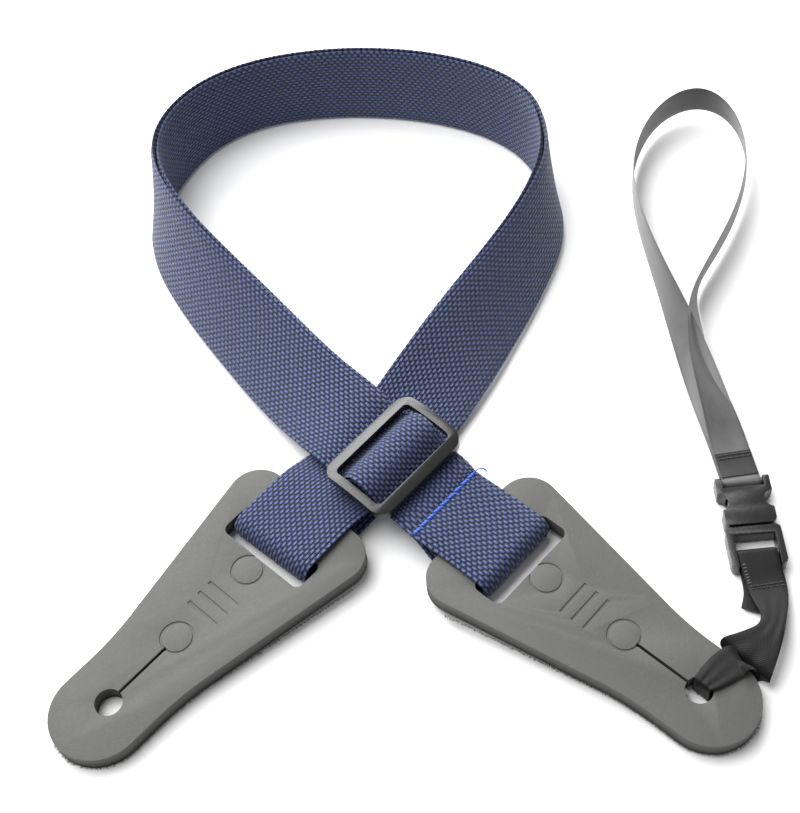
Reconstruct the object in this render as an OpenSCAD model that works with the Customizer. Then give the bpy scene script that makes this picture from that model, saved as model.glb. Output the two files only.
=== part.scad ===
// Ukulele strap: navy webbing in a doubled loop, slider, two leather end tabs
// and a headstock tie with a small side-release buckle. Millimetres, +Z up.

/* [Webbing] */
// Width of the webbing
web_w = 25; // [20:0.5:40]
// Thickness of one layer of webbing
web_t = 1.4; // [1.0:0.1:2.0]
// Half the spacing between the two laps
lap_gap = 0.86; // [0.8:0.01:1.2]

/* [Leather tabs] */
// Thickness of the leather
tab_t = 4.4; // [3:0.1:5]
// Radius of the small end
tab_r = 12; // [10:0.1:14]
// Strap button hole diameter
hole_d = 6.8; // [6:0.1:9]
// Length of the slit behind the button hole
slit_len = 15; // [8:0.5:20]
// Front edge of the webbing slot, from the hole
slot_x0 = 50; // [48:0.1:56]
// Back edge of the webbing slot, from the hole
slot_x1 = 58.6; // [56:0.1:60]
// Length of the webbing slot
slot_len = 27; // [25.5:0.1:30]
// Depth of the pressed decoration
press_d = 0.25; // [0.1:0.05:0.5]
// Lean of each tab, small end down
tab_lean = 1.4; // [0:0.1:3]

/* [Slider] */
// Slider length across the strap
sl_w = 31; // [30:0.5:36]
// Slider length along the strap
sl_l = 22; // [18:0.5:26]
// Slider plate thickness
sl_t = 2.4; // [2:0.1:4]
// Radius the slider is arched to
sl_r = 40; // [25:1:80]
// Centre bar radius
bar_r = 1.2; // [1:0.1:1.6]

/* [Headstock tie] */
// Width of the ribbon
rib_w = 10; // [8:0.5:12]
// Thickness of the ribbon
rib_t = 0.3; // [0.2:0.05:0.5]
// Width of the buckle
bk_w = 14; // [12:0.5:18]
// Thickness of the buckle
bk_t = 5; // [4:0.1:6]

/* [Hidden] */

// Colours
navy = [0.17, 0.20, 0.34];
leather = [0.12, 0.12, 0.12];
plastic = [0.10, 0.10, 0.10];
satin = [0.14, 0.14, 0.14];
thread_blue = [0.15, 0.32, 0.80];
thread_dark = [0.08, 0.08, 0.10];

// ---- small vector helpers -------------------------------------------------
function unit(v) = v / norm(v);
function perp(w, t) = unit(w - (w * t) * t);
function flatten(l) = [for (a = l) each a];
function rz(a, p) = [p[0] * cos(a) - p[1] * sin(a), p[0] * sin(a) + p[1] * cos(a), p[2]];
function rx(a, p) = [p[0], p[1] * cos(a) - p[2] * sin(a), p[1] * sin(a) + p[2] * cos(a)];

// ---- smooth curve through a list of [position, width direction, spread] ---
// The spread is 1 for a band at full width and less where it is bunched up
function ctrl(l, i) = l[min(max(i - 2, 0), len(l) - 1)];
function b0(t) = pow(1 - t, 3) / 6;
function b1(t) = (3 * pow(t, 3) - 6 * t * t + 4) / 6;
function b2(t) = (-3 * pow(t, 3) + 3 * t * t + 3 * t + 1) / 6;
function b3(t) = pow(t, 3) / 6;
function mix4(a, b, c, d, t) = a * b0(t) + b * b1(t) + c * b2(t) + d * b3(t);
function curve_at(l, i, t) = [for (k = [0:2])
    mix4(ctrl(l, i)[k], ctrl(l, i + 1)[k], ctrl(l, i + 2)[k], ctrl(l, i + 3)[k], t)];
function curve(l, per, from = 0) = concat(
    [for (s = [from:(len(l) + 1) * per - 1]) curve_at(l, floor(s / per), s / per - floor(s / per))],
    [curve_at(l, len(l), 1)]);

// ---- flat band swept along such a list ------------------------------------
function tangent(l, i) = unit(l[min(i + 1, len(l) - 1)][0] - l[max(i - 1, 0)][0]);
function corners(p, w, n, bw, bt) = [
    p + w * bw / 2 + n * bt / 2, p - w * bw / 2 + n * bt / 2,
    p - w * bw / 2 - n * bt / 2, p + w * bw / 2 - n * bt / 2];
function ring(l, i, bw, bt) =
    let (t = tangent(l, i), w = perp(l[i][1], t), n = cross(w, t))
    corners(l[i][0], w, n, bw * l[i][2], bt / l[i][2]);
function side_faces(n) = [for (i = [0:n - 2]) for (k = [0:3])
    let (a = 4 * i + k, b = 4 * i + (k + 1) % 4) each [[a, b, b + 4], [a, b + 4, a + 4]]];
function end_faces(n) = [[0, 3, 2], [0, 2, 1],
    [4 * n - 4, 4 * n - 3, 4 * n - 2], [4 * n - 4, 4 * n - 2, 4 * n - 1]];

module band(l, bw, bt) {
    polyhedron(
        points = flatten([for (i = [0:len(l) - 1]) ring(l, i, bw, bt)]),
        faces = concat(side_faces(len(l)), end_faces(len(l))),
        convexity = 20);
}

// ---- places ---------------------------------------------------------------
left_hole = [-82.3, -90.6, 0];
left_turn = 45.5;
left_fold_turn = 47.5;
right_hole = [56.8, -98.2, 0.45];
right_turn = 136;
fold_x = 58.4;
left_fold_x = 56.6;
slider_at = [-12.6, -31.3, 14.6];
slider_turn = 134;
slider_roll = -5;
buckle_at = [77, -65.9, 2.7];
buckle_turn = 1.5;

// Frames the webbing is laid out in: x along the strap, z up
function on_slider(x, z) = [slider_at + rz(slider_turn, rx(slider_roll, [x, 0, z])),
    rz(slider_turn, rx(slider_roll, [0, -1, 0])), 1];
function on_right(x, z, y = 0) = [[right_hole[0], right_hole[1], 0]
    + rz(right_turn, [x, y, z]), rz(right_turn, [0, -1, 0]), 1];
left_fold_at = left_hole + rz(left_turn, [left_fold_x, 0, 0]);
function on_left(x, z) = [left_fold_at + rz(left_fold_turn, [x, 0, z]),
    rz(left_fold_turn, [0, 1, 0]), 1];

// ---- route of the doubled loop: x, y, z, tilt of the band -----------------
lap = [
    [-23.5, -18.9, 10.4, 10],
    [-36, -4.9, 7.8, 28],
    [-51.5, 16.6, 8.8, 38.5],
    [-69.5, 40.1, 12.2, 57],
    [-79.5, 59.6, 13.8, 70],
    [-79.5, 79.1, 12.9, 94],
    [-70.5, 97.1, 12.9, 95],
    [-53, 108.6, 12.9, 92],
    [-23, 111.6, 12.9, 95],
    [9, 104.6, 12.9, 98],
    [31, 89.6, 12.9, 97],
    [35.5, 71.1, 13.2, 91],
    [36.5, 53.6, 13.4, 70],
    [25.5, 32.1, 12, 61],
    [9.5, 9.1, 10, 41],
    [-4, -8.4, 5.4, 17],
    [-11.5, -16.9, 2.35, 3],
    [-20.5, -25.9, 1.7, 0]];
function xyz(p) = [p[0], p[1], p[2]];
function lap_dir(i) = unit(xyz(lap[min(i + 1, len(lap) - 1)]) - xyz(lap[max(i - 1, 0)]));
function lap_pt(i, side) =
    let (t = lap_dir(i), h = unit([t[1], -t[0], 0]), u = cross(h, t),
         up = u[2] < 0 ? -u : u, w = cos(lap[i][3]) * h + sin(lap[i][3]) * up)
    [xyz(lap[i]) + side * unit(cross(w, t)), w, 1];

// Sewn loop round the slider bar, then the inner lap
bar_z = -2.6;
wrap_r = bar_r + 0.3 + web_t / 2;
hump_z = bar_z + wrap_r + web_t + 0.12;
low_z = web_t / 2 + 0.02;
mid_z = 4.15;
fold_r = mid_z - low_z;
top_z = mid_z + fold_r;

tail_path = curve([on_slider(14, -8.8), on_slider(10.5, -8.8), on_slider(8, -8.5),
    on_slider(5, -6.9), on_slider(2.2, bar_z - wrap_r - 0.4), on_slider(0, bar_z - wrap_r)], 3);
wrap_path = [for (a = [20:20:160])
    on_slider(-wrap_r * sin(a), bar_z - wrap_r * cos(a))];
inner_path = curve(concat(
    [on_slider(0, bar_z + wrap_r), on_slider(3, bar_z + wrap_r - 0.3),
     on_slider(6, -5.4), on_slider(9, -7.1), on_slider(13, -7.2)],
    [for (i = [0:len(lap) - 1]) lap_pt(i, -lap_gap)],
    [on_left(22.5, low_z), on_left(17, low_z), on_left(10, low_z),
     on_left(3, low_z), on_left(0, low_z)]), 5);
left_fold = [for (a = [15:15:165])
    on_left(-fold_r * sin(a), mid_z - fold_r * cos(a))];
outer_path = curve(concat(
    [on_left(0, top_z), on_left(3, top_z), on_left(10, top_z + 0.15),
     on_left(17, 7.6), on_left(22.5, 5)],
    [for (i = [len(lap) - 1:-1:0]) lap_pt(i, lap_gap)],
    [on_slider(13, -5.6), on_slider(9.5, -5.5), on_slider(6.2, -4.1),
     on_slider(3.4, 0.6), on_slider(0, hump_z + 0.4), on_slider(-3.4, 0.6),
     on_slider(-6.2, -4.1), on_slider(-9.5, -5.5), on_slider(-13, -5.6),
     on_right(80, 8.8, 0.8), on_right(74, 8.1, 0.4), on_right(68, top_z + 0.25),
     on_right(61, top_z), on_right(fold_x, top_z)]), 5);
right_fold = [for (a = [15:15:165])
    on_right(fold_x - fold_r * sin(a), mid_z + fold_r * cos(a))];
return_path = curve([on_right(fold_x, low_z), on_right(61, low_z), on_right(68, low_z),
    on_right(72, low_z), on_right(75, 3.6), on_right(77.5, 6),
    on_right(80, 6.8), on_right(82, 7.1)], 3);

module webbing_strap() {
    color(navy)
        band(concat(tail_path, wrap_path, inner_path, left_fold,
            outer_path, right_fold, return_path), web_w, web_t);
}

// ---- leather tabs ----------------------------------------------------------
// Outline: hole at the origin, wide end towards +x
neck_x = 4;
neck_r = 80;
flare = 12.1;
corner_r = 8;
corner_x = 62.8;
corner_y = 13.7;
bend_x = neck_x + neck_r * sin(flare);
bend_y = tab_r + neck_r * (1 - cos(flare));

side_x = corner_x - corner_r * sin(flare);
side_y = corner_y + corner_r * cos(flare);

module tab_blank() {
    difference() {
        union() {
            translate([-3.3, 0, 0])
                cylinder(r = tab_r, h = tab_t, $fn = 96);
            for (y = [-1, 1])
                translate([corner_x, y * corner_y, 0])
                    cylinder(r = corner_r, h = tab_t, $fn = 64);
            linear_extrude(tab_t)
                polygon([[-3.3, tab_r], [neck_x, tab_r], [bend_x, bend_y], [side_x, side_y],
                    [corner_x, corner_y], [corner_x + corner_r, corner_y],
                    [corner_x + corner_r, -corner_y], [corner_x, -corner_y],
                    [side_x, -side_y], [bend_x, -bend_y], [neck_x, -tab_r], [-3.3, -tab_r]]);
        }
        for (y = [-1, 1])
            translate([neck_x, y * (tab_r + neck_r), -1])
                cylinder(r = neck_r, h = tab_t + 2, $fn = 200);
    }
}

module slot_cut() {
    for (y = [-1, 1])
        for (x = [slot_x0 + 2, slot_x1 - 2])
            translate([x, y * (slot_len / 2 - 2), -1])
                cylinder(r = 2, h = tab_t + 2, $fn = 32);
    translate([slot_x0, 2 - slot_len / 2, -1])
        cube([slot_x1 - slot_x0, slot_len - 4, tab_t + 2]);
    translate([slot_x0 + 2, -slot_len / 2, -1])
        cube([slot_x1 - slot_x0 - 4, slot_len, tab_t + 2]);
}

// Plain pressed pattern: two ring lines with three bars between them
module press_ring(x) {
    translate([x, 0, tab_t - press_d])
        difference() {
            cylinder(r = 4.3, h = 1, $fn = 64);
            translate([0, 0, -0.5])
                cylinder(r = 3.8, h = 2, $fn = 64);
        }
}

module press_bar(x) {
    translate([x, -5, tab_t - press_d])
        cube([1, 10, 1]);
}

module leather_tab() {
    difference() {
        tab_blank();
        translate([0, 0, -1])
            cylinder(d = hole_d, h = tab_t + 2, $fn = 64);
        translate([hole_d / 2 - 0.5, -0.35, -1])
            cube([slit_len + 0.5, 0.7, tab_t + 2]);
        slot_cut();
        press_ring(22);
        press_ring(46);
        press_bar(30);
        press_bar(33.5);
        press_bar(37);
    }
}

module placed_tab(at, turn) {
    translate(at)
        rotate([0, 0, turn])
            translate([-3.3 - tab_r, 0, 0])
                rotate([0, -tab_lean, 0])
                    translate([3.3 + tab_r, 0, 0])
                        color(leather)
                            leather_tab();
}

module left_leather_tab() {
    placed_tab(left_hole, left_turn);
}

module right_leather_tab() {
    placed_tab(right_hole, right_turn);
}

// ---- slider ----------------------------------------------------------------
module rounded_block(l, w, r, h) {
    for (x = [-1, 1])
        for (y = [-1, 1])
            translate([x * (l / 2 - r), y * (w / 2 - r), 0])
                cylinder(r = r, h = h, $fn = 48);
    translate([-l / 2, r - w / 2, 0])
        cube([l, w - 2 * r, h]);
    translate([r - l / 2, -w / 2, 0])
        cube([l - 2 * r, w, h]);
}

module slider_body() {
    difference() {
        translate([0, 0, -7])
            rounded_block(sl_l, sl_w, 4, 8);
        translate([0, 0, -8])
            rounded_block(sl_l - 6, 26.4, 1.6, 10);
        // arched top and underside
        difference() {
            translate([-20, -20, -20])
                cube([40, 40, 40]);
            translate([0, 25, -sl_r])
                rotate([90, 0, 0])
                    cylinder(r = sl_r, h = 50, $fn = 180);
        }
        translate([0, 25, -sl_r])
            rotate([90, 0, 0])
                cylinder(r = sl_r - sl_t, h = 50, $fn = 180);
    }
    // centre bar with its end blocks
    translate([0, 14.5, bar_z])
        rotate([90, 0, 0])
            cylinder(r = bar_r, h = 29, $fn = 32);
    for (y = [-14.5, 14.5])
        translate([-1.6, y - 0.9, bar_z - 1])
            cube([3.2, 1.8, 3]);
}

module slider() {
    translate(slider_at)
        rotate([0, 0, slider_turn])
            rotate([slider_roll, 0, 0])
                color(plastic)
                    slider_body();
}

// ---- thread lines in the webbing -------------------------------------------
module stitch_row(n, step, len, d) {
    for (i = [0:n - 1])
        translate([0, (i - (n - 1) / 2) * step, 0])
            rotate([-90, 0, 0])
                translate([0, 0, -len / 2])
                    cylinder(d = d, h = len, $fn = 16);
}

module right_end_stitching() {
    color(thread_blue)
        translate(on_right(78.3, 9.9, 0.8)[0])
            rotate([0, 0, right_turn + 3])
                stitch_row(8, 3, 2.7, 0.5);
}

module slider_loop_stitching() {
    color(thread_dark)
        translate(on_slider(11.5, -9.9)[0])
            rotate([0, 0, slider_turn])
                rotate([slider_roll, 0, 0])
                    translate([0, -3.2, 0])
                        stitch_row(5, 3.2, 2.6, 0.3);
}

module loose_thread_end() {
    color(thread_blue)
        translate(on_right(78.6, 9.5, -12.2)[0])
            rotate([0, 60, right_turn - 100])
                cylinder(d = 0.4, h = 5, $fn = 16);
}

// ---- buckle ----------------------------------------------------------------
// Own frame: x across, y from the plug end to the socket end, z up
socket_bar_y = 25.5;
plug_bar_y = 4;
plug_bar_r = 1.2;
pivot_x = 3.1;
pivot_y = 12.7;

module in_buckle() {
    translate(buckle_at)
        rotate([0, 0, buckle_turn])
            children();
}

function on_buckle(x, y, z, s = 1) = [buckle_at + rz(buckle_turn, [x, y, z]),
    rz(buckle_turn, [1, 0, 0]), s];

module round_bar(y, len, r) {
    translate([-len / 2, y, 0])
        rotate([0, 90, 0])
            cylinder(r = r, h = len, $fn = 32);
}

module socket_body() {
    difference() {
        union() {
            translate([0, 18.6, -bk_t / 2])
                rounded_block(bk_w - 1, 13.6, 1.5, bk_t);
            translate([-bk_w / 2, 21.5, -bk_t / 2 + 0.4])
                cube([bk_w, 4.6, bk_t - 0.8]);
        }
        // space for the plug
        translate([-5, 10, -1.5])
            cube([10, 12.4, 3]);
        // side openings for the fingers
        for (x = [-1, 1])
            translate([x * 7, 18.8, -5])
                cylinder(r = 2.5, h = 10, $fn = 48);
        // gap for the ribbon, and the end left open round the bar
        translate([-5.3, 22.9, -5])
            cube([10.6, 6, 10]);
    }
    round_bar(socket_bar_y, 11.2, 1);
}

module buckle_socket() {
    color(plastic)
        in_buckle()
            socket_body();
}

module plug_body() {
    difference() {
        translate([0, 5.75, -2])
            rounded_block(bk_w, 11.5, 1.5, 4);
        translate([-5.3, -1, -5])
            cube([10.6, 10.2, 10]);
    }
    round_bar(plug_bar_y, 11.2, plug_bar_r);
    // guide tongue
    translate([-0.8, 11, -0.8])
        cube([1.6, 10.2, 1.6]);
}

module buckle_plug() {
    color(plastic)
        in_buckle()
            plug_body();
}

module prong_shape() {
    translate([pivot_x, pivot_y])
        circle(r = 0.8, $fn = 32);
    polygon([[2.3, 12.7], [3.9, 12.7], [4, 16.8], [4.7, 17.2], [4.7, 19.6],
        [3.9, 21.4], [2.9, 21.4], [2.7, 19]]);
}

module prong(side) {
    color(plastic)
        in_buckle()
            mirror([side < 0 ? 1 : 0, 0, 0])
                translate([0, 0, -1.2])
                    linear_extrude(2.4)
                        prong_shape();
}

module plug_prong_left() {
    prong(-1);
}

module plug_prong_right() {
    prong(1);
}

// ---- headstock tie ---------------------------------------------------------
// Route of the loop: x, y, z, tilt; both ends are sewn round the socket bar
tie_lap = [
    [76, -36.4, 3.4, 0],
    [75.5, -31.9, 3.1, 2],
    [74.6, -24.9, 4.2, 10],
    [73.3, -15.9, 6.2, 26],
    [71, 1.1, 5.8, 50],
    [72.1, 14.9, 6, 64],
    [73.9, 24.6, 6.4, 98],
    [80.7, 35.1, 6.6, 94],
    [90.6, 51.6, 6.5, 89],
    [97.4, 73.4, 7.4, 82],
    [94.1, 91.7, 8.3, 77],
    [84.2, 99.8, 8.1, 85],
    [70.4, 92.8, 6.9, 85],
    [61.1, 74.3, 5.8, 91],
    [60.2, 54.1, 6.6, 90],
    [64, 30.3, 6.3, 80],
    [68.7, 6.6, 4.9, 48],
    [72.6, -15.3, 2.8, 16],
    [74.6, -25.9, 2.1, 2],
    [76, -36.9, 1.95, 0]];
function tie_dir(i) = unit(xyz(tie_lap[min(i + 1, len(tie_lap) - 1)])
    - xyz(tie_lap[max(i - 1, 0)]));
function tie_pt(i) =
    let (t = tie_dir(i), h = unit([-t[1], t[0], 0]), u = cross(h, t),
         up = u[2] < 0 ? -u : u)
    [xyz(tie_lap[i]), cos(tie_lap[i][3]) * h + sin(tie_lap[i][3]) * up, 1];
tie_r = 1 + 0.12 + rib_t / 2;
tie_start = [for (y = [31, 28.5]) on_buckle(0, y, -tie_r)];
tie_turn = [for (a = [0:22.5:180])
    on_buckle(0, socket_bar_y - tie_r * sin(a), -tie_r * cos(a))];

module tie_loop_ribbon() {
    color(satin)
        band(concat([for (p = concat(tie_start, tie_turn)) [p[0], -p[1], 1]],
            curve([for (i = [0:len(tie_lap) - 1]) tie_pt(i)], 4)), rib_w, rib_t);
}

module tie_loop_stitching() {
    color(thread_dark)
        translate([75.75, -33.9, 2.5])
            rotate([0, 0, 96])
                stitch_row(5, 2, 1.2, 0.4);
}

// Lower ribbon: cut tail, round the plug bar, down to the right tab, knotted
// through its button hole. Each line: x, y, z, width direction x, y, z, spread
knot = [
    [77.9, -69.9, 2.6, 0.99, 0.14, 0, 1],
    [78, -74.9, 3.4, 1, 0.1, 0, 0.9],
    [77.9, -79.5, 4.8, 1, 0, 0, 0.6],
    [76.4, -83.9, 6.2, 0.97, -0.22, 0, 0.6],
    [74, -87.1, 6.4, 0.9, -0.44, 0, 0.9],
    [70, -90.5, 5.3, 0.75, -0.66, 0, 1.4],
    [68.8, -91.1, 3.7, 0.69, -0.72, 0, 1.6],
    [68.7, -91.1, 1.9, 0.69, -0.72, 0, 1.3],
    [68.7, -91.1, 0.46, 0.69, -0.72, 0, 0.9],
    [67.5, -91.8, 0.34, 0.69, -0.72, 0, 0.9],
    [63.5, -93.9, 0.34, 0.7, -0.71, 0, 0.85],
    [60.4, -95.8, 0.37, 0.72, -0.69, 0, 0.7],
    [57.9, -97.2, 0.47, 0.72, -0.69, 0, 0.48],
    [57.6, -97.3, 0.6, 0.72, -0.69, 0, 0.48],
    [57.7, -97.3, 3, 0.72, -0.69, 0, 0.48],
    [57.7, -97.3, 5.85, 0.72, -0.69, 0, 0.48],
    [58.1, -96.9, 6.05, 0.72, -0.69, 0, 0.55],
    [61.5, -94.7, 5.85, 0.7, -0.71, 0, 0.8],
    [66.6, -91.2, 5.6, 0.69, -0.72, 0, 0.9],
    [68.2, -91.8, 5.45, 0.69, -0.72, 0, 0.9],
    [68, -91.8, 3.6, 0.69, -0.72, 0, 0.9],
    [67.9, -91.8, 1.8, 0.69, -0.72, 0, 0.9]];
plug_r = plug_bar_r + 0.12 + rib_t / 2;
cut_tail = curve([[[75.4, -77.3, 1], [0.95, -0.31, 0], 1], [[76.3, -74.9, 1], [0.95, -0.31, 0], 1],
    [[77.3, -71.4, 1.1], [0.98, -0.2, 0], 1], on_buckle(0, 0.6, -plug_r),
    on_buckle(0, plug_bar_y, -plug_r)], 3);
plug_turn = [for (a = [22.5:22.5:157.5])
    on_buckle(0, plug_bar_y + plug_r * sin(a), -plug_r * cos(a))];
knot_path = curve(concat([on_buckle(0, plug_bar_y, plug_r), on_buckle(0, 0.6, plug_r - 0.5)],
    [for (k = knot) [[k[0], k[1], k[2]], [k[3], k[4], k[5]], k[6]]]), 4);

module lower_tie_ribbon() {
    color(satin)
        band(concat(cut_tail, plug_turn, knot_path), rib_w, rib_t);
}

module lower_tie_stitching() {
    color(thread_dark)
        translate([77.8, -70.2, 3.35])
            rotate([0, 0, 97])
                stitch_row(5, 1.9, 1.2, 0.4);
}

webbing_strap();
slider();
left_leather_tab();
right_leather_tab();
right_end_stitching();
slider_loop_stitching();
loose_thread_end();
tie_loop_ribbon();
tie_loop_stitching();
buckle_socket();
buckle_plug();
plug_prong_left();
plug_prong_right();
lower_tie_ribbon();
lower_tie_stitching();
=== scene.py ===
import math

import bmesh
import bpy
import numpy as np
from mathutils import Matrix, Vector


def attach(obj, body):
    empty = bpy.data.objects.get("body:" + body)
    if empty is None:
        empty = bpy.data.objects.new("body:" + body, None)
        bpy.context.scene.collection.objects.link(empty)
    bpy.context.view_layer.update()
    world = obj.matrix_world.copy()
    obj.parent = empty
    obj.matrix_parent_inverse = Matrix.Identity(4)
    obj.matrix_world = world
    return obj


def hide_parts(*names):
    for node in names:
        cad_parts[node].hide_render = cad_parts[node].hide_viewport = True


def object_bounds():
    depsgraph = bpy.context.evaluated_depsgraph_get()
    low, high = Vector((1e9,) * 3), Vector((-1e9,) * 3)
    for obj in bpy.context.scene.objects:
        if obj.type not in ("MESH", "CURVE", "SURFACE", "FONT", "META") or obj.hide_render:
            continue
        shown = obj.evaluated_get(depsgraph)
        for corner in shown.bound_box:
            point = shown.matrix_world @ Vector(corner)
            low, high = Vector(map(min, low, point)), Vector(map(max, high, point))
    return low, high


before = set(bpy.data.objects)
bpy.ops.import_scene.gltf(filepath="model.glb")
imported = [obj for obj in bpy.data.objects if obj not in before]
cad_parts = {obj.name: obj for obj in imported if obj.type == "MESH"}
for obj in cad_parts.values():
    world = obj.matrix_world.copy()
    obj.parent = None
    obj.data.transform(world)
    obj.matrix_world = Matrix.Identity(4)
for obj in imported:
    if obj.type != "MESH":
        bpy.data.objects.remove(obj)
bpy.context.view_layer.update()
rng = np.random.default_rng(7)
MM = 0.001
scene = bpy.context.scene
CAMERA_AT = (0.008, -0.2479, 0.330)
CAMERA_RIGHT = (0.99756, -0.05644, -0.04100)
CAMERA_BACK = (0, -0.58779, 0.80902)

# ---- camera -------------------------------------------------------------------
cam_data = bpy.data.cameras.new("camera")
cam_data.sensor_fit = "HORIZONTAL"
cam_data.sensor_width = 36
cam_data.lens = 67.5
cam_data.shift_x = -0.0875
cam_data.clip_start = 0.02
cam_data.clip_end = 20
camera = bpy.data.objects.new("camera", cam_data)
scene.collection.objects.link(camera)
right = Vector(CAMERA_RIGHT).normalized()
back = Vector(CAMERA_BACK).normalized()
up = back.cross(right).normalized()
right = up.cross(back).normalized()
turn = Matrix((right, up, back)).transposed().to_4x4()
camera.matrix_world = Matrix.Translation(CAMERA_AT) @ turn
scene.camera = camera

# ---- the routes of the webbing and ribbons, as in the CAD source (mm) -------------
WEB_W, WEB_T, GAP = 25.0, 1.4, 0.86
TAB_T, TAB_R, LEAN = 4.4, 12.0, 1.4
RIB_W, RIB_T = 10.0, 0.3
SLIDER_BAR_R, SOCKET_BAR_R, PLUG_BAR_R = 1.2, 1.0, 1.2
SLIDER_BAR_Z, SOCKET_BAR_Y, PLUG_BAR_Y = -2.6, 25.5, 4
RIGHT_FOLD_X, LEFT_FOLD_X = 58.4, 56.6
left_hole, left_turn, left_fold_turn = np.array([-82.3, -90.6, 0]), 45.5, 47.5
right_hole, right_turn = np.array([56.8, -98.2, 0.45]), 136
slider_at, slider_turn, slider_roll = np.array([-12.6, -31.3, 14.6]), 134, -5
buckle_at, buckle_turn = np.array([77, -65.9, 2.7]), 1.5
LAP = [
    [-23.5, -18.9, 10.4, 10], [-36, -4.9, 7.8, 28], [-51.5, 16.6, 8.8, 38.5],
    [-69.5, 40.1, 12.2, 57], [-79.5, 59.6, 13.8, 70], [-79.5, 79.1, 12.9, 94],
    [-70.5, 97.1, 12.9, 95], [-53, 108.6, 12.9, 92], [-23, 111.6, 12.9, 95],
    [9, 104.6, 12.9, 98], [31, 89.6, 12.9, 97], [35.5, 71.1, 13.2, 91],
    [36.5, 53.6, 13.4, 70], [25.5, 32.1, 12, 61], [9.5, 9.1, 10, 41],
    [-4, -8.4, 5.4, 17], [-11.5, -16.9, 2.35, 3], [-20.5, -25.9, 1.7, 0]]
TIE = [
    [76, -36.4, 3.4, 0], [75.5, -31.9, 3.1, 2], [74.6, -24.9, 4.2, 10],
    [73.3, -15.9, 6.2, 26], [71, 1.1, 5.8, 50], [72.1, 14.9, 6, 64],
    [73.9, 24.6, 6.4, 98], [80.7, 35.1, 6.6, 94], [90.6, 51.6, 6.5, 89],
    [97.4, 73.4, 7.4, 82], [94.1, 91.7, 8.3, 77], [84.2, 99.8, 8.1, 85],
    [70.4, 92.8, 6.9, 85], [61.1, 74.3, 5.8, 91], [60.2, 54.1, 6.6, 90],
    [64, 30.3, 6.3, 80], [68.7, 6.6, 4.9, 48], [72.6, -15.3, 2.8, 16],
    [74.6, -25.9, 2.1, 2], [76, -36.9, 1.95, 0]]
KNOT = [
    [77.9, -69.9, 2.6, 0.99, 0.14, 0, 1], [78, -74.9, 3.4, 1, 0.1, 0, 0.9],
    [77.9, -79.5, 4.8, 1, 0, 0, 0.6], [76.4, -83.9, 6.2, 0.97, -0.22, 0, 0.6],
    [74, -87.1, 6.4, 0.9, -0.44, 0, 0.9], [70, -90.5, 5.3, 0.75, -0.66, 0, 1.4],
    [68.8, -91.1, 3.7, 0.69, -0.72, 0, 1.6], [68.7, -91.1, 1.9, 0.69, -0.72, 0, 1.3],
    [68.7, -91.1, 0.46, 0.69, -0.72, 0, 0.9], [67.5, -91.8, 0.34, 0.69, -0.72, 0, 0.9],
    [63.5, -93.9, 0.34, 0.7, -0.71, 0, 0.85], [60.4, -95.8, 0.37, 0.72, -0.69, 0, 0.7],
    [57.9, -97.2, 0.47, 0.72, -0.69, 0, 0.48], [57.6, -97.3, 0.6, 0.72, -0.69, 0, 0.48],
    [57.7, -97.3, 3, 0.72, -0.69, 0, 0.48], [57.7, -97.3, 5.85, 0.72, -0.69, 0, 0.48],
    [58.1, -96.9, 6.05, 0.72, -0.69, 0, 0.55], [61.5, -94.7, 5.85, 0.7, -0.71, 0, 0.8],
    [66.6, -91.2, 5.6, 0.69, -0.72, 0, 0.9], [68.2, -91.8, 5.45, 0.69, -0.72, 0, 0.9],
    [68, -91.8, 3.6, 0.69, -0.72, 0, 0.9], [67.9, -91.8, 1.8, 0.69, -0.72, 0, 0.9]]


def unit(v):
    return v / np.linalg.norm(v)


def rz(a, p):
    a = math.radians(a)
    return np.array([p[0] * math.cos(a) - p[1] * math.sin(a),
                     p[0] * math.sin(a) + p[1] * math.cos(a), p[2]], float)


def rx(a, p):
    a = math.radians(a)
    return np.array([p[0], p[1] * math.cos(a) - p[2] * math.sin(a),
                     p[1] * math.sin(a) + p[2] * math.cos(a)], float)


def curve(stations, per):
    """Uniform cubic B-spline with clamped ends, per points a span: place, width direction, spread."""
    n, out = len(stations), []
    at = [0, 0] + list(range(n)) + [n - 1, n - 1]
    for i in range(len(at) - 3):
        for k in range(per + (i == len(at) - 4)):
            t = k / per
            c = [(1 - t) ** 3 / 6, (3 * t ** 3 - 6 * t * t + 4) / 6,
                 (-3 * t ** 3 + 3 * t * t + 3 * t + 1) / 6, t ** 3 / 6]
            out.append([sum(c[q] * np.asarray(stations[at[i + q]][m], float) for q in range(4))
                        for m in range(3)])
    return out


def on_slider(x, z):
    return [slider_at + rz(slider_turn, rx(slider_roll, [x, 0, z])),
            rz(slider_turn, rx(slider_roll, [0, -1, 0])), 1]


def on_right(x, z, y=0):
    return [np.array([right_hole[0], right_hole[1], 0]) + rz(right_turn, [x, y, z]),
            rz(right_turn, [0, -1, 0]), 1]


left_fold_at = left_hole + rz(left_turn, [LEFT_FOLD_X, 0, 0])


def on_left(x, z):
    return [left_fold_at + rz(left_fold_turn, [x, 0, z]), rz(left_fold_turn, [0, 1, 0]), 1]


def on_buckle(x, y, z):
    return [buckle_at + rz(buckle_turn, [x, y, z]), rz(buckle_turn, [1, 0, 0]), 1]


def lap_station(i, side):
    p = np.array(LAP, float)
    t = unit(p[min(i + 1, len(p) - 1), :3] - p[max(i - 1, 0), :3])
    h = unit(np.array([t[1], -t[0], 0]))
    u = np.cross(h, t)
    u = -u if u[2] < 0 else u
    a = math.radians(p[i, 3])
    w = math.cos(a) * h + math.sin(a) * u
    return [p[i, :3] + side * unit(np.cross(w, t)), w, 1]


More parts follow.
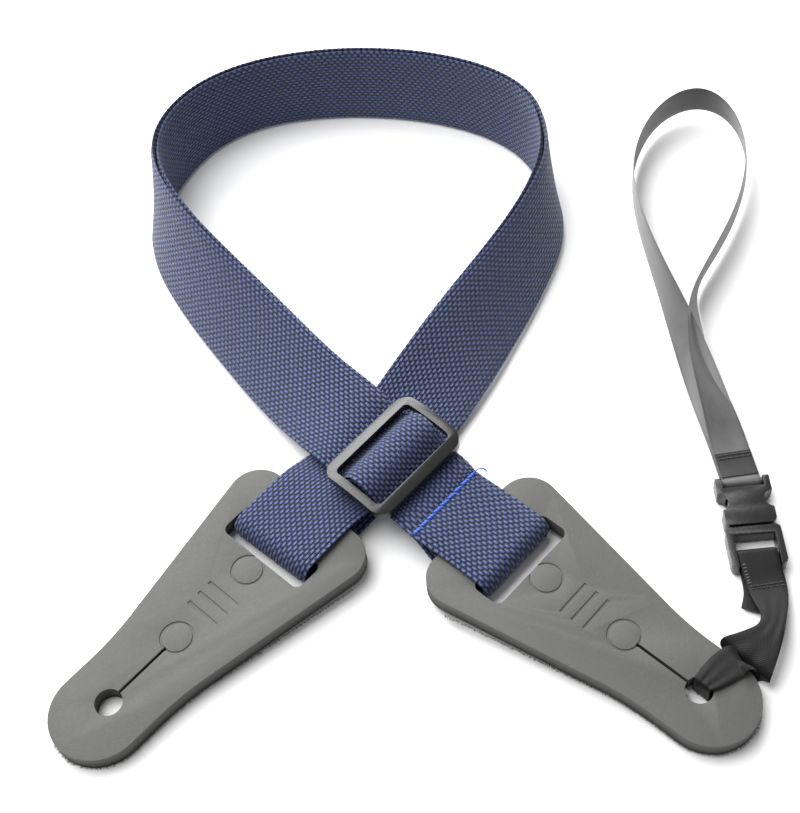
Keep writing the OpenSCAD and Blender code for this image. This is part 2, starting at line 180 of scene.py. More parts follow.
def tie_station(i):
    p = np.array(TIE, float)
    t = unit(p[min(i + 1, len(p) - 1), :3] - p[max(i - 1, 0), :3])
    h = unit(np.array([-t[1], t[0], 0]))
    u = np.cross(h, t)
    u = -u if u[2] < 0 else u
    a = math.radians(p[i, 3])
    return [p[i, :3], math.cos(a) * h + math.sin(a) * u, 1]


def webbing_stations():
    bar_z, wrap_r = SLIDER_BAR_Z, SLIDER_BAR_R + 0.3 + WEB_T / 2
    hump_z = bar_z + wrap_r + WEB_T + 0.12
    low_z, mid_z = WEB_T / 2 + 0.02, 4.15
    fold_r = mid_z - low_z
    top_z = mid_z + fold_r
    n = len(LAP)
    tail = curve([on_slider(14, -8.8), on_slider(10.5, -8.8), on_slider(8, -8.5),
                  on_slider(5, -6.9), on_slider(2.2, bar_z - wrap_r - 0.4),
                  on_slider(0, bar_z - wrap_r)], 3)
    wrap = [on_slider(-wrap_r * math.sin(math.radians(a)),
                      bar_z - wrap_r * math.cos(math.radians(a))) for a in range(20, 161, 20)]
    inner = curve([on_slider(0, bar_z + wrap_r), on_slider(3, bar_z + wrap_r - 0.3),
                   on_slider(6, -5.4), on_slider(9, -7.1), on_slider(13, -7.2)]
                  + [lap_station(i, -GAP) for i in range(n)]
                  + [on_left(x, low_z) for x in (22.5, 17, 10, 3, 0)], 5)
    turn_l = [on_left(-fold_r * math.sin(math.radians(a)),
                      mid_z - fold_r * math.cos(math.radians(a))) for a in range(15, 166, 15)]
    outer = curve([on_left(0, top_z), on_left(3, top_z), on_left(10, top_z + 0.15),
                   on_left(17, 7.6), on_left(22.5, 5)]
                  + [lap_station(i, GAP) for i in range(n - 1, -1, -1)]
                  + [on_slider(13, -5.6), on_slider(9.5, -5.5), on_slider(6.2, -4.1),
                     on_slider(3.4, 0.6), on_slider(0, hump_z + 0.4), on_slider(-3.4, 0.6),
                     on_slider(-6.2, -4.1), on_slider(-9.5, -5.5), on_slider(-13, -5.6),
                     on_right(80, 8.8, 0.8), on_right(74, 8.1, 0.4), on_right(68, top_z + 0.25),
                     on_right(61, top_z), on_right(RIGHT_FOLD_X, top_z)], 5)
    turn_r = [on_right(RIGHT_FOLD_X - fold_r * math.sin(math.radians(a)),
                       mid_z + fold_r * math.cos(math.radians(a))) for a in range(15, 166, 15)]
    back_run = curve([on_right(RIGHT_FOLD_X, low_z), on_right(61, low_z), on_right(68, low_z),
                      on_right(72, low_z), on_right(75, 3.6), on_right(77.5, 6),
                      on_right(80, 6.8), on_right(82, 7.1)], 3)
    return tail + wrap + inner + turn_l + outer + turn_r + back_run


def resample(stations, step):
    """Even steps along a route: length, place, tangent, width direction, normal, spread."""
    P = np.array([s[0] for s in stations], float)
    W = np.array([s[1] for s in stations], float)
    S = np.array([s[2] for s in stations], float)
    keep = np.concatenate([[True], np.linalg.norm(np.diff(P, axis=0), axis=1) > 1e-4])
    P, W, S = P[keep], W[keep], S[keep]
    L = np.concatenate([[0], np.cumsum(np.linalg.norm(np.diff(P, axis=0), axis=1))])
    s = np.linspace(0, L[-1], max(8, int(L[-1] / step)))
    # cubic Hermite through the stations, with chord tangents on length
    idx = np.clip(np.searchsorted(L, s, side="right") - 1, 0, len(L) - 2)
    t = ((s - L[idx]) / (L[idx + 1] - L[idx]))[:, None]

    def tangents(A):
        d = np.empty_like(A)
        d[1:-1] = (A[2:] - A[:-2]) / (L[2:] - L[:-2])[:, None]
        d[0], d[-1] = (A[1] - A[0]) / (L[1] - L[0]), (A[-1] - A[-2]) / (L[-1] - L[-2])
        return d

    def herm(A):
        d, h = tangents(A), (L[idx + 1] - L[idx])[:, None]
        return ((2 * t ** 3 - 3 * t ** 2 + 1) * A[idx] + (t ** 3 - 2 * t ** 2 + t) * h * d[idx]
                + (3 * t ** 2 - 2 * t ** 3) * A[idx + 1] + (t ** 3 - t ** 2) * h * d[idx + 1])
    P2, W2, S2 = herm(P), herm(W), herm(S[:, None])[:, 0]
    T = np.gradient(P2, axis=0)
    T /= np.linalg.norm(T, axis=1, keepdims=True)
    W2 = W2 - (W2 * T).sum(1, keepdims=True) * T
    W2 /= np.linalg.norm(W2, axis=1, keepdims=True)
    return s, P2, T, W2, np.cross(W2, T), S2


def link(name, mesh):
    o = bpy.data.objects.new(name, mesh)
    scene.collection.objects.link(o)
    return o


def smooth(o, angle):
    for p in o.data.polygons:
        p.use_smooth = True
    o.data.set_sharp_from_angle(angle=math.radians(angle))


def band(name, path, width, thick, across, edge=None, shape=None, power=6):
    """A strap swept along a path: UV x across in metres, UV y along in metres."""
    s, P, T, W, N, S = path
    n, m = len(s), across
    u = np.linspace(-1, 1, m)
    z = (1 - np.abs(u) ** power) ** (1 / power)
    loop_u = np.concatenate([u, u[::-1]])
    loop_z = np.concatenate([0.12 + 0.88 * z, -0.12 - 0.88 * z[::-1]])
    k = len(loop_u)
    half = (width / 2 * S)[:, None] * loop_u[None]
    lift = (thick / 2 / np.clip(S, 0.4, 3))[:, None] * loop_z[None]
    if edge is not None:
        half = half + edge(s)[:, None] * np.sign(loop_u)[None] * (np.abs(loop_u) > 0.999)[None]
    if shape is not None:
        lift = lift + shape(s, loop_u, loop_z)
    V = P[:, None] + half[..., None] * W[:, None] + lift[..., None] * N[:, None]
    V = V.reshape(-1, 3) * MM
    faces, uvs = [], []
    for i in range(n - 1):
        for j in range(k):
            j2 = (j + 1) % k
            faces.append((i * k + j, (i + 1) * k + j, (i + 1) * k + j2, i * k + j2))
            a, b = loop_u[j] * width / 2 * MM, loop_u[j2] * width / 2 * MM
            c, d = s[i] * MM, s[i + 1] * MM
            uvs += [(a, c), (a, d), (b, d), (b, c)]
    for i, flip in ((0, False), (n - 1, True)):
        for j in range(m - 1):
            q = (i * k + j, i * k + j + 1, i * k + k - 2 - j, i * k + k - 1 - j)
            faces.append(q[::-1] if flip else q)
            uvs += [(loop_u[j] * width / 2 * MM, s[i] * MM)] * 4
    mesh = bpy.data.meshes.new(name)
    mesh.from_pydata(V.tolist(), [], faces)
    layer = mesh.uv_layers.new(name="weave")
    layer.data.foreach_set("uv", np.array(uvs, np.float32).ravel())
    side = mesh.attributes.new("under", "FLOAT", "POINT")
    side.data.foreach_set("value", np.tile(np.repeat([0.0, 1.0], m), n).astype(np.float32))
    mesh.update()
    o = link(name, mesh)
    bm = bmesh.new()
    bm.from_mesh(mesh)
    bmesh.ops.recalc_face_normals(bm, faces=bm.faces)
    bm.to_mesh(mesh)
    bm.free()
    smooth(o, 50)
    return o


def tubes(name, lines, radius, sides=8):
    """Round threads along lines of points in mm, with rounded ends."""
    V, F = [], []
    for line in lines:
        P = np.array(line, float)
        T = np.gradient(P, axis=0)
        T /= np.linalg.norm(T, axis=1, keepdims=True)
        a = np.cross(T, [0.3, 0.2, 0.93])
        a /= np.linalg.norm(a, axis=1, keepdims=True)
        b = np.cross(T, a)
        rings = [(P[0] - T[0] * radius * 0.6, 0.55, 0)] + [(P[i], 1, i) for i in range(len(P))]
        rings += [(P[-1] + T[-1] * radius * 0.6, 0.55, len(P) - 1)]
        base = len(V)
        for c, f, i in rings:
            for q in range(sides):
                g = 2 * math.pi * q / sides
                V.append((c + radius * f * (math.cos(g) * a[i] + math.sin(g) * b[i])) * MM)
        for r in range(len(rings) - 1):
            for q in range(sides):
                q2 = (q + 1) % sides
                F.append((base + r * sides + q, base + r * sides + q2,
                          base + (r + 1) * sides + q2, base + (r + 1) * sides + q))
        F.append(tuple(base + q for q in range(sides))[::-1])
        F.append(tuple(base + (len(rings) - 1) * sides + q for q in range(sides)))
    mesh = bpy.data.meshes.new(name)
    mesh.from_pydata([list(v) for v in V], [], F)
    mesh.update()
    o = link(name, mesh)
    smooth(o, 60)
    return o


# ---- materials ------------------------------------------------------------------
class Nodes:
    def __init__(self, name):
        self.mat = bpy.data.materials.new(name)
        self.mat.use_nodes = True
        self.t = self.mat.node_tree
        self.bsdf = self.t.nodes["Principled BSDF"]

    def add(self, kind, **values):
        n = self.t.nodes.new(kind)
        for k, v in values.items():
            if k.startswith("_"):
                setattr(n, k[1:], v)
            else:
                key = int(k[2:]) if k.startswith("in") else k
                if isinstance(v, bpy.types.NodeSocket):
                    self.t.links.new(v, n.inputs[key])
                else:
                    n.inputs[key].default_value = v
        return n

    def math(self, op, a, b=0.0, c=0.0):
        return self.add("ShaderNodeMath", _operation=op, in0=a, in1=b, in2=c).outputs[0]

    def ramp(self, fac, stops):
        n = self.add("ShaderNodeValToRGB", in0=fac)
        e = n.color_ramp.elements
        while len(e) < len(stops):
            e.new(0.5)
        for i, (at, col) in enumerate(stops):
            e[i].position = at
            e[i].color = (*col, 1)
        return n.outputs[0]

    def noise(self, coords, scale, detail=3.0, rough=0.55):
        return self.add("ShaderNodeTexNoise", Vector=coords, Scale=scale, Detail=detail,
                        Roughness=rough).outputs["Fac"]

    def mix(self, fac, a, b):
        n = self.add("ShaderNodeMix", _data_type="RGBA")
        for key, v in ((0, fac), (6, a), (7, b)):
            if isinstance(v, bpy.types.NodeSocket):
                self.t.links.new(v, n.inputs[key])
            else:
                n.inputs[key].default_value = v if key == 0 else (*v, 1)
        return n.outputs[2]

    def coords(self):
        return self.add("ShaderNodeTexCoord").outputs["Object"]

    def bump(self, height, distance, strength=1.0):
        return self.add("ShaderNodeBump", Strength=strength, Distance=distance,
                        Height=height).outputs[0]

    def out(self, color, rough, normal=None, **sockets):
        for key, v in (("Base Color", color), ("Roughness", rough), ("Normal", normal)):
            if v is None:
                continue
            if isinstance(v, bpy.types.NodeSocket):
                self.t.links.new(v, self.bsdf.inputs[key])
            else:
                self.bsdf.inputs[key].default_value = (*v, 1) if key == "Base Color" else v
        for k, v in sockets.items():
            self.bsdf.inputs[k.replace("_", " ")].default_value = v
        return self.mat


PICK = 0.0019          # length of one weft float in the webbing, m
RIBBON_WARP, RIBBON_WEFT, RIBBON_EDGE = 0.00042, 0.0006, 0.0043


def webbing_material():
    m = Nodes("navy_webbing")
    uv = m.add("ShaderNodeUVMap", _uv_map="weave").outputs[0]
    sep = m.add("ShaderNodeSeparateXYZ", in0=uv)
    x, y = sep.outputs[0], sep.outputs[1]
    obj = m.coords()
    wob = m.noise(obj, 90.0, 2.0)
    y = m.math("MULTIPLY_ADD", wob, 0.0009, y)
    cord = m.math("MULTIPLY", x, 1000.0)                      # one warp cord a millimetre
    fr = m.math("FRACT", m.math("ADD", cord, 100.5))
    rib = m.math("SINE", m.math("MULTIPLY", fr, math.pi))     # round top of each cord
    odd = m.math("MODULO", m.math("FLOOR", m.math("ADD", cord, 100.5)), 2.0)
    row = m.math("MULTIPLY_ADD", odd, 0.5, m.math("MULTIPLY", y, 1 / PICK))
    pick = m.math("FRACT", m.math("ADD", row, 2000.0))
    over = m.math("SINE", m.math("MULTIPLY", pick, math.pi))
    over = m.math("POWER", over, 0.75)
    h = m.math("MULTIPLY", m.math("POWER", rib, 0.8), m.math("MULTIPLY_ADD", over, 0.88, 0.12))
    # fine yarn fibres along each cord
    fib = m.add("ShaderNodeTexNoise", Scale=1.0, Detail=2.0)
    comb = m.add("ShaderNodeCombineXYZ", in0=m.math("MULTIPLY", x, 9000.0),
                 in1=m.math("MULTIPLY", y, 1500.0))
    m.t.links.new(comb.outputs[0], fib.inputs["Vector"])
    h2 = m.math("MULTIPLY_ADD", fib.outputs["Fac"], 0.22, h)
    patch = m.noise(obj, 35.0, 3.0)
    # colour follows the weave's height: painted shade in the gaps between cords and painted highlight
    # on the cord tops
    col = m.ramp(h, [(0.0, (0.001, 0.002, 0.006)), (0.3, (0.006, 0.010, 0.034)),
                     (0.65, (0.034, 0.052, 0.145)), (1.0, (0.095, 0.135, 0.32))])
    col = m.mix(m.math("MULTIPLY", patch, 0.15), col, (0.03, 0.048, 0.12))
    rough = m.math("MULTIPLY_ADD", fib.outputs["Fac"], 0.25, 0.42)
    return m.out(col, rough, m.bump(h2, 0.0005, 1.0),
                 Specular_IOR_Level=0.4, Sheen_Weight=0.15, Sheen_Roughness=0.4)


def ribbon_material(name, dark, light, rough=0.38, gloss=0.6, back=None):
    m = Nodes(name)
    uv = m.add("ShaderNodeUVMap", _uv_map="weave").outputs[0]
    sep = m.add("ShaderNodeSeparateXYZ", in0=uv)
    x, y = sep.outputs[0], sep.outputs[1]
    a = m.math("SINE", m.math("MULTIPLY", x, 2 * math.pi / RIBBON_WARP))
    b = m.math("SINE", m.math("MULTIPLY", y, 2 * math.pi / RIBBON_WEFT))
    h = m.math("MULTIPLY_ADD", m.math("MULTIPLY", a, b), 0.5, 0.5)
    n = m.noise(m.coords(), 240.0, 3.0)
    # woven edge line each side
    e = m.math("GREATER_THAN", m.math("ABSOLUTE", x), RIBBON_EDGE)
    col = m.mix(m.math("MULTIPLY_ADD", n, 0.5, m.math("MULTIPLY", h, 0.4)), dark, light)
    col = m.mix(m.math("MULTIPLY", e, 0.45), col, dark)
    # painted shade: one face of the ribbon is mixed towards this dark colour, to darken the inside of
    # the tie loop
    if back:
        under = m.add("ShaderNodeAttribute", _attribute_name="under").outputs["Fac"]
        col = m.mix(m.math("MULTIPLY_ADD", under, -0.85, 0.85), col, back)
    return m.out(col, m.math("MULTIPLY_ADD", n, 0.2, rough - 0.08), m.bump(h, 0.00008, 0.6),
                 Specular_IOR_Level=gloss, Sheen_Weight=gloss * 0.4, Sheen_Roughness=0.4)


def leather_material():
    m = Nodes("black_leather")
    obj = m.coords()
    hgt = m.add("ShaderNodeAttribute", _attribute_name="skin").outputs["Fac"]   # 0 flesh, 1 grain
    top = m.add("ShaderNodeAttribute", _attribute_name="face").outputs["Fac"]   # 1 on the two faces
    cell = m.add("ShaderNodeTexVoronoi", Vector=obj, Scale=1500.0, _feature="DISTANCE_TO_EDGE")
    crease = m.math("SMOOTH_MIN", cell.outputs["Distance"], 0.12, 0.05)
    fine = m.noise(obj, 900.0, 4.0)
    broad = m.noise(obj, 45.0, 4.0)
    h = m.math("MULTIPLY_ADD", crease, 4.0, m.math("MULTIPLY", fine, 0.35))
    grain = m.mix(broad, (0.078, 0.079, 0.074), (0.108, 0.109, 0.103))
    grain = m.mix(m.math("MULTIPLY", fine, 0.35), grain, (0.055, 0.055, 0.053))
    fibre = m.noise(m.add("ShaderNodeMapping", Vector=obj, Scale=(1.0, 1.0, 5.0)).outputs[0],
                    1600.0, 5.0, 0.7)
    # edge colour through the thickness: darkest at the flesh side by the floor, partly the fuzzy
    # flesh fibres and partly painted shade where the edge meets the floor; a dark line just under the
    # grain face
    edge = m.ramp(hgt, [(0.0, (0.012, 0.012, 0.012)), (0.22, (0.025, 0.026, 0.025)),
                        (0.5, (0.055, 0.057, 0.056)), (0.82, (0.045, 0.047, 0.046)),
                        (0.93, (0.012, 0.012, 0.012))])
    edge = m.mix(m.math("MULTIPLY", fibre, 0.7), edge, (0.03, 0.031, 0.03))
    col = m.mix(top, edge, grain)
    rough = m.math("MULTIPLY_ADD", top, -0.38, 0.88)
    rough = m.math("MULTIPLY_ADD", fine, 0.12, rough)
    both = m.math("ADD", m.math("MULTIPLY", h, m.math("MULTIPLY", top, 0.5)),
                  m.math("MULTIPLY", fibre, m.math("SUBTRACT", 1.6, m.math("MULTIPLY", top, 1.6))))
    return m.out(col, rough, m.bump(both, 0.00016, 0.7), Specular_IOR_Level=0.35)


def plastic_material():
    m = Nodes("black_plastic")
    obj = m.coords()
    n1, n2 = m.noise(obj, 1400.0, 2.0), m.noise(obj, 120.0, 3.0)
    scr = m.noise(obj, 420.0, 3.0)
    col = m.mix(n2, (0.008, 0.008, 0.008), (0.015, 0.015, 0.015))
    rough = m.math("MULTIPLY_ADD", scr, 0.14, 0.2)
    return m.out(col, rough, m.bump(m.math("MULTIPLY_ADD", n1, 1.0, m.math("MULTIPLY", scr, 0.4)),
                                    0.00004, 0.45), Specular_IOR_Level=0.5)


def thread_material(name, dark, light):
    m = Nodes(name)
    obj = m.coords()
    n = m.noise(obj, 2600.0, 3.0)
    w = m.add("ShaderNodeTexWave", Vector=obj, Scale=1100.0, Distortion=2.0,
              _bands_direction="DIAGONAL")
    col = m.mix(m.math("MULTIPLY_ADD", w.outputs["Fac"], 0.6, m.math("MULTIPLY", n, 0.4)),
                dark, light)
    return m.out(col, 0.45, m.bump(w.outputs["Fac"], 0.00008, 0.6), Sheen_Weight=0.3)


MAT = {
    "web": webbing_material(),
    # the tie loop's ribbon, with painted shade on one face
    "ribbon": ribbon_material("black_ribbon", (0.04, 0.04, 0.041), (0.14, 0.14, 0.14),
                              back=(0.012, 0.012, 0.012)),
    # painted shade: a much darker copy of the black ribbon, for the lower ribbon and knot
    "ribbon_shaded": ribbon_material("black_satin_ribbon", (0.004, 0.004, 0.004), (0.016, 0.016, 0.016),
                                  0.36, 0.16),
    "ribbon_dark": ribbon_material("black_ribbon_hem", (0.008, 0.008, 0.008), (0.028, 0.028, 0.028),
                                   0.4, 0.25),
    "leather": leather_material(),
    "plastic": plastic_material(),
    "blue": thread_material("blue_thread", (0.02, 0.07, 0.5), (0.08, 0.25, 0.95)),
    "dark": thread_material("dark_thread", (0.008, 0.008, 0.01), (0.05, 0.05, 0.055)),
    "fuzz": thread_material("leather_fibre", (0.01, 0.01, 0.01), (0.045, 0.045, 0.045)),
    "pale": thread_material("pale_thread", (0.09, 0.09, 0.09), (0.3, 0.3, 0.3)),
}


def place(o, body, mat, slot, *nodes):
    o.data.materials.clear()
    o.data.materials.append(MAT[mat])
    if nodes:
        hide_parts(*nodes)
    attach(o, body)


# ---- webbing ---------------------------------------------------------------------
web = resample(webbing_stations(), 0.35)
s, P, T, W, N, S = web
seam_at = on_right(78.3, 8.85, 0.8)[0]
i_seam = int(np.linalg.norm(P - seam_at, axis=1).argmin())
s_seam = s[i_seam]
sgn_seam = 1.0 if N[i_seam][2] > 0 else -1.0


def selvedge(q):
    """Scallops where the weft turns back at the edge."""
    return 0.16 * (np.abs(np.sin(math.pi * q / 1.4)) - 0.5)


def web_shape(q, u, z):
    """The seam pulls the top face in and puffs it up on both sides; the rest waves a little."""
    side = np.sign(z)[None]
    dent = np.exp(-((q[:, None] - s_seam) / 1.1) ** 2) * (side == sgn_seam)
    puff = np.exp(-((q[:, None] - s_seam - 4.5) / 2.6) ** 2) * (side == sgn_seam)
    puff2 = np.exp(-((q[:, None] - s_seam + 4.0) / 2.4) ** 2) * (side == sgn_seam)
    wave = (0.05 * np.sin(q[:, None] / 9.0 + u[None] * 2)
            + 0.035 * np.sin(q[:, None] / 3.7 - u[None] * 5))
    pinch = sgn_seam * (-0.42 * dent + 0.2 * puff + 0.2 * puff2)
    return pinch * (1 - u[None] ** 8) + wave * 0.5


strap = band("webbing", web, WEB_W - 0.25, WEB_T - 0.06, 15, edge=selvedge, shape=web_shape)
place(strap, "strap", "web", "navy_webbing", "webbing_strap")

# cut yarns at both ends of the webbing
ends = []
for i_end, sgn in ((0, -1), (len(s) - 1, 1)):
    for q in np.linspace(-0.48, 0.48, 40):
        a = P[i_end] + W[i_end] * q * WEB_W + N[i_end] * rng.uniform(-0.45, 0.45)
        d = T[i_end] * sgn * rng.uniform(0.2, 0.7) + W[i_end] * rng.uniform(-0.25, 0.25)
        ends.append([a, a + d * 0.5, a + d])
place(tubes("cut_yarns", ends, 0.09, 5), "strap", "web", "navy_webbing")

# ---- stitches on the webbing -----------------------------------------------------
STITCH_FILL, PLIES = 0.86, 2


def stitches(i0, width, count, side, radius, lift, slant):
    """A row of two-ply stitches across the webbing at route index i0."""
    lines = []
    step = width / count
    for k in range(count):
        c = P[i0] + W[i0] * ((k + 0.5) * step - width / 2) + N[i0] * side * (WEB_T / 2 + lift)
        half = W[i0] * step * STITCH_FILL / 2 + T[i0] * slant
        for p in range(PLIES):
            ph = math.pi * p
            line = []
            for t in np.linspace(-1, 1, 11):
                dip = -0.42 * abs(t) ** 5
                tw = radius * 0.8
                line.append(c + half * t + N[i0] * side * (dip + tw * math.cos(ph + 5 * t))
                            + T[i0] * tw * math.sin(ph + 5 * t))
            lines.append(line)
    return lines


blue = stitches(i_seam, 23.6, 9, sgn_seam, 0.26, -0.22, 0.12)
place(tubes("end_stitching", blue, 0.24), "strap", "blue", "blue_thread", "right_end_stitching")
top = sgn_seam * N[i_seam]
side_w = W[i_seam] * (1 if (W[i_seam] @ np.array([0.6, 0.8, 0])) > 0 else -1)
a = P[i_seam] + side_w * 11.9 + top * 0.75
tail_line = [a + side_w * d + top * e + T[i_seam] * f for d, e, f in
             ((-0.8, 0.02, 0), (0, 0.25, 0.1), (0.7, 0.7, 0.4), (1.3, 1.0, 1.0), (1.5, 1.3, 1.9),
              (1.4, 1.2, 2.8))]
second_ply = [p + top * 0.25 + T[i_seam] * 0.12 for p in tail_line[:-1]]
place(tubes("thread_end", [tail_line, second_ply], 0.15),
      "strap", "blue", "blue_thread", "loose_thread_end")
seat = on_slider(11.5, -8.8)[0]
i_tail = int(np.linalg.norm(P[: len(P) // 12] - seat, axis=1).argmin())
low = 1.0 if N[i_tail][2] < 0 else -1.0
place(tubes("slider_stitching", stitches(i_tail, 22, 8, low, 0.2, 0.06, 0.0), 0.18),
      "strap", "dark", "dark_thread", "slider_loop_stitching")

# ---- ribbons -----------------------------------------------------------------------
tie_r = SOCKET_BAR_R + 0.12 + RIB_T / 2
tie_st = [on_buckle(0, y, -tie_r) for y in (31, 28.5)]
tie_st += [on_buckle(0, SOCKET_BAR_Y - tie_r * math.sin(math.radians(a)),
                     -tie_r * math.cos(math.radians(a)))
           for a in np.arange(0, 181, 22.5)]
tie_st = [[p[0], -p[1], 1] for p in tie_st] + curve([tie_station(i) for i in range(len(TIE))], 4)
tie = resample(tie_st, 0.6)


def ribbon_curl(q, u, z):
    """A shallow trough across the ribbon and a slow wave along it."""
    return 0.10 * (u[None] ** 2 - 0.4) + 0.05 * np.sin(q[:, None] / 11.0 + 2.5 * u[None])


loop = band("tie_ribbon", tie, RIB_W - 0.1, RIB_T, 9, shape=ribbon_curl, power=8)
place(loop, "socket", "ribbon", "black_ribbon", "tie_loop_ribbon")

plug_r = PLUG_BAR_R + 0.12 + RIB_T / 2
cut = curve([[[75.4, -77.3, 1], [0.95, -0.31, 0], 1], [[76.3, -74.9, 1], [0.95, -0.31, 0], 1],
             [[77.3, -71.4, 1.1], [0.98, -0.2, 0], 1], on_buckle(0, 0.6, -plug_r),
             on_buckle(0, PLUG_BAR_Y, -plug_r)], 3)
turn_p = [on_buckle(0, PLUG_BAR_Y + plug_r * math.sin(math.radians(a)),
                    -plug_r * math.cos(math.radians(a)))
          for a in np.arange(22.5, 158, 22.5)]
knot = curve([on_buckle(0, PLUG_BAR_Y, plug_r), on_buckle(0, 0.6, plug_r - 0.5)]
             + [[k[0:3], k[3:6], k[6]] for k in KNOT], 4)
low_path = resample(cut + turn_p + knot, 0.4)
q_low = low_path[0]


def gather(q, u, z):
    """Folds where the ribbon is bunched or spread."""
    f = 1 - np.exp(-((low_path[5] - 1) / 0.25) ** 2)
    return f[:, None] * 0.11 * np.sin(u[None] * 9 + q[:, None] * 0.25)


# the lower ribbon takes the painted-shade copy of the black ribbon
lower = band("lower_ribbon", low_path, RIB_W - 0.1, RIB_T, 15, shape=gather, power=8)
place(lower, "right_tab", "ribbon_shaded", "black_ribbon", "lower_tie_ribbon")


STITCHED_W = 8.6


def ribbon_stitches(path, i0, side, count, along=0.0, length=0.75):
    """A row of stitches across a ribbon, each filling that length of its step."""
    _, P_, T_, W_, N_, _ = path
    lines = []
    step = STITCHED_W / count
    for k in range(count):
        c = (P_[i0] + W_[i0] * ((k + 0.5) * step - STITCHED_W / 2) + T_[i0] * along
             + N_[i0] * side * (RIB_T / 2 + 0.08))
        d = W_[i0] * step * length / 2
        rise = N_[i0] * side * 0.06
        lines.append([c - d, c - d * 0.4 + rise, c + d * 0.4 + rise, c + d])
    return lines


def nearest(path, p, ok):
    """Index of the route point nearest p, among those where ok holds."""
    d = np.linalg.norm(path[1] - np.asarray(p), axis=1)
    return int(np.where(ok, d, 1e9).argmin())


i_low = nearest(low_path, (77.9, -70.4, 2.9), q_low > 14)
up_low = 1.0 if low_path[4][i_low][2] > 0 else -1.0
rows = (ribbon_stitches(low_path, i_low, up_low, 7)
        + ribbon_stitches(low_path, i_low + 2, up_low, 7, length=0.5))
place(tubes("lower_stitching", rows, 0.14, 6),
      "right_tab", "dark", "dark_thread", "lower_tie_stitching")
# pale needle marks along one edge
marks = []
_, P_, _, W_, N_, _ = low_path
for k in range(7):
    i = i_low - 3 - 2 * k
    c = (P_[i] - W_[i] * (RIB_W / 2 - 0.9) * (1 if W_[i][0] > 0 else -1)
         + N_[i] * up_low * (RIB_T / 2 + 0.06))
    marks.append([c - W_[i] * 0.4, c + N_[i] * up_low * 0.04, c + W_[i] * 0.4])
place(tubes("edge_stitch_marks", marks, 0.09, 6), "right_tab", "pale", "dark_thread")
i_hem = nearest(tie, (75.4, -31.6, 3.2), (tie[0] > 10) & (tie[0] < 60))
up_tie = 1.0 if tie[4][i_hem][2] > 0 else -1.0
rows = (ribbon_stitches(tie, i_hem - 1, up_tie, 8, along=-0.2)
        + ribbon_stitches(tie, i_hem - 3, up_tie, 8))
rows = [[p + tie[4][i_hem] * up_tie * 0.34 for p in r] for r in rows]
place(tubes("tie_stitching", rows, 0.12, 6), "socket", "dark", "dark_thread", "tie_loop_stitching")
# the ribbon's own end, folded over and sewn down in front of the socket
i_bar = nearest(tie, (76.3, -39.3, 4.0), (tie[0] > 6) & (tie[0] < 60))
hem = tuple(a[i_bar:i_hem + 1] for a in tie)
hem = (hem[0] - hem[0][0], hem[1] + hem[4] * up_tie * 0.32, *hem[2:])
flap = band("tie_hem", hem, RIB_W - 0.3, 0.28, 9, power=8)
place(flap, "socket", "ribbon_dark", "black_ribbon")


# ---- rigid pieces: rounded copies of the CAD shapes --------------------------------------
BEVEL_FROM_DEG = 35
LEAN_X = 15.3          # from the tab's rounded end, which it leans about, to the hole
NECK_X, NECK_R, FLARE_DEG = 4, 80, 12.1


def rounded(name, node, width, segments):
    """The CAD shape with its edges rounded."""
    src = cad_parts[node]
    mesh = src.data.copy()
    mesh.name = name
    o = link(name, mesh)
    bm = bmesh.new()
    bm.from_mesh(mesh)
    bmesh.ops.remove_doubles(bm, verts=bm.verts, dist=2e-6)
    bmesh.ops.dissolve_limit(bm, angle_limit=math.radians(0.6), verts=bm.verts, edges=bm.edges)
    bm.to_mesh(mesh)
    bm.free()
    mod = o.modifiers.new("round", "BEVEL")
    mod.width = width * MM
    mod.segments = segments
    mod.limit_method = "ANGLE"
    mod.angle_limit = math.radians(BEVEL_FROM_DEG)
    mod.harden_normals = False
    mod.use_clamp_overlap = True
    bpy.context.view_layer.update()
    dg = bpy.context.evaluated_depsgraph_get()
    made = bpy.data.meshes.new_from_object(o.evaluated_get(dg))
    o.modifiers.clear()
    o.data = made
    smooth(o, 32)
    return o


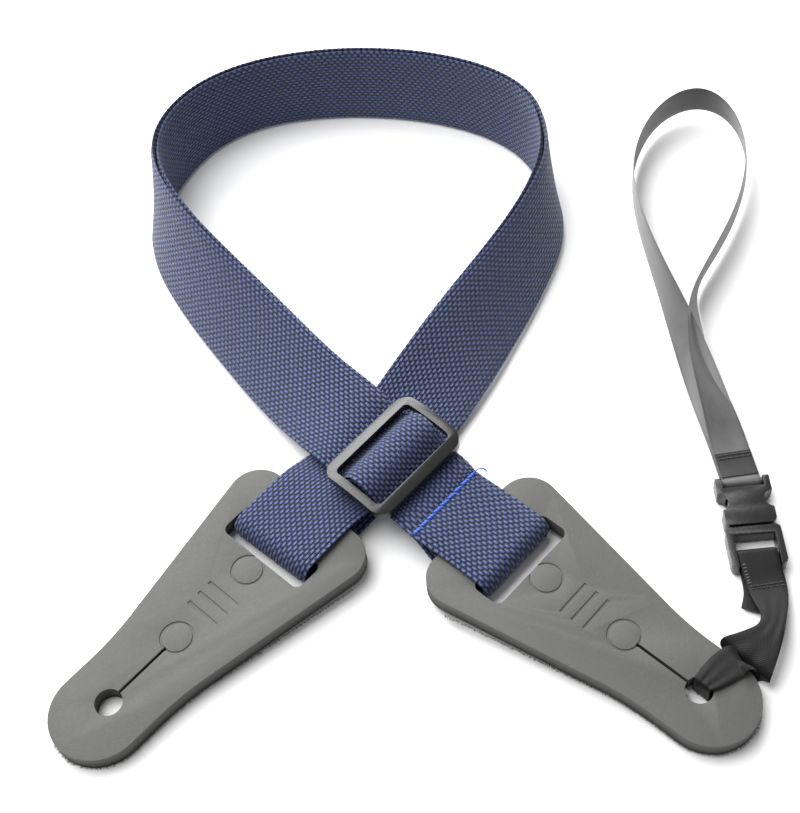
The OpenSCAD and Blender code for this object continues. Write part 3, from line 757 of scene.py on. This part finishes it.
def leather(name, node, body, at, turn_deg):
    """A tab with marked faces and layers, and loose fibres round its flesh side."""
    o = rounded(name, node, 0.35, 3)
    me = o.data
    co = np.zeros(len(me.vertices) * 3)
    me.vertices.foreach_get("co", co)
    co = co.reshape(-1, 3) / MM - at
    a, l = math.radians(turn_deg), math.radians(LEAN)
    x = co[:, 0] * math.cos(a) + co[:, 1] * math.sin(a) + LEAN_X
    h = (co[:, 2] * math.cos(l) - x * math.sin(l)) / TAB_T
    skin = me.attributes.new("skin", "FLOAT", "POINT")
    skin.data.foreach_set("value", np.clip(h, 0, 1).astype(np.float32))
    face = me.attributes.new("face", "FLOAT", "POINT")
    face.data.foreach_set("value", (h > 0.93).astype(np.float32))
    place(o, body, "leather", "black_leather", node)
    # flesh-side fibres round the outline
    def local(u, v, z):
        u += LEAN_X
        return at + rz(turn_deg, [u * math.cos(l) - z * math.sin(l) - LEAN_X, v,
                                  u * math.sin(l) + z * math.cos(l)])

    out = []
    for g in np.linspace(90, 270, 70):
        c, sn = math.cos(math.radians(g)), math.sin(math.radians(g))
        out.append((-3.3 + TAB_R * c, TAB_R * sn, c, sn))
    for u in np.linspace(-3, 60, 150):
        v = TAB_R
        if u >= NECK_X:
            flare = math.radians(FLARE_DEG)
            q = min(math.degrees(math.asin(min((u - NECK_X) / NECK_R, 0.2096))), FLARE_DEG)
            v = TAB_R + NECK_R * (1 - math.cos(math.radians(q)))
            if u > NECK_X + NECK_R * math.sin(flare):
                v += (u - NECK_X - NECK_R * math.sin(flare)) * math.tan(flare)
        for sd in (-1, 1):
            out.append((u, sd * v, 0.0, float(sd)))
    fuzz = []
    for u, v, nx, ny in out:
        for _ in range(3):
            z0 = abs(rng.normal(0.15, 0.28))
            r0 = rng.uniform(0.15, 0.55)
            sl = rng.uniform(-0.5, 0.5)
            uu = u + rng.uniform(-0.2, 0.2)
            p0 = local(uu - nx * 0.1, v - ny * 0.1, z0)
            p1 = local(uu + nx * r0 * 0.5 - ny * sl * 0.4, v + ny * r0 * 0.5 + nx * sl * 0.4,
                       z0 - 0.05)
            p2 = local(uu + nx * r0 - ny * sl, v + ny * r0 + nx * sl,
                       z0 + rng.uniform(-0.15, 0.1))
            ps = [p0, p1, p2]
            for p in ps:
                p[2] = max(p[2], 0.05)
            fuzz.append(ps)
    place(tubes(name + "_fibres", fuzz, 0.045, 4), body, "fuzz", "black_leather")


leather("left_tab", "left_leather_tab", "left_tab", left_hole, left_turn)
leather("right_tab", "right_leather_tab", "right_tab", right_hole, right_turn)
for name, node, body, width, segments in (
        ("slider_frame", "slider", "slider", 0.3, 3),
        ("socket_shell", "buckle_socket", "socket", 0.3, 3),
        ("plug_frame", "buckle_plug", "right_tab", 0.25, 3),
        ("prong_left", "plug_prong_left", "left_prong", 0.2, 2),
        ("prong_right", "plug_prong_right", "right_prong", 0.2, 2)):
    place(rounded(name, node, width, segments), body, "plastic", "black_plastic", node)

# ---- floor and light -------------------------------------------------------------------
FLOOR_HALF, FLOOR_GAP = 3, 0.00005
lo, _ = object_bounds()
mesh = bpy.data.meshes.new("floor")
f, z = FLOOR_HALF, min(lo[2], 0.0) - FLOOR_GAP
mesh.from_pydata([(-f, -f, z), (f, -f, z), (f, f, z), (-f, f, z)], [], [(0, 1, 2, 3)])
floor = link("floor", mesh)
fm = Nodes("pale_floor")
fm.out(fm.mix(fm.noise(fm.coords(), 4.0), (0.9, 0.9, 0.9), (0.93, 0.93, 0.93)), 0.8,
       Specular_IOR_Level=0.1)
floor.data.materials.append(fm.mat)

world = bpy.data.worlds.new("studio")
scene.world = world
world.use_nodes = True
world.node_tree.nodes["Background"].inputs[0].default_value = (1, 1, 1, 1)
world.node_tree.nodes["Background"].inputs[1].default_value = 0.36


def area(name, at, size, power):
    """A rectangular light aimed at the object."""
    d = bpy.data.lights.new(name, "AREA")
    d.shape = "RECTANGLE"
    d.size, d.size_y = size
    d.energy = power
    o = bpy.data.objects.new(name, d)
    scene.collection.objects.link(o)
    o.location = at
    o.rotation_euler = (-Vector(at)).to_track_quat("-Z", "Y").to_euler()


area("back_softbox", (-0.25, 0.95, 0.62), (1.2, 0.6), 20.0)
area("top_softbox", (-0.45, 0.25, 1.05), (1.0, 1.0), 19.0)
scene.view_settings.view_transform = "Standard"
scene.view_settings.look = "None"
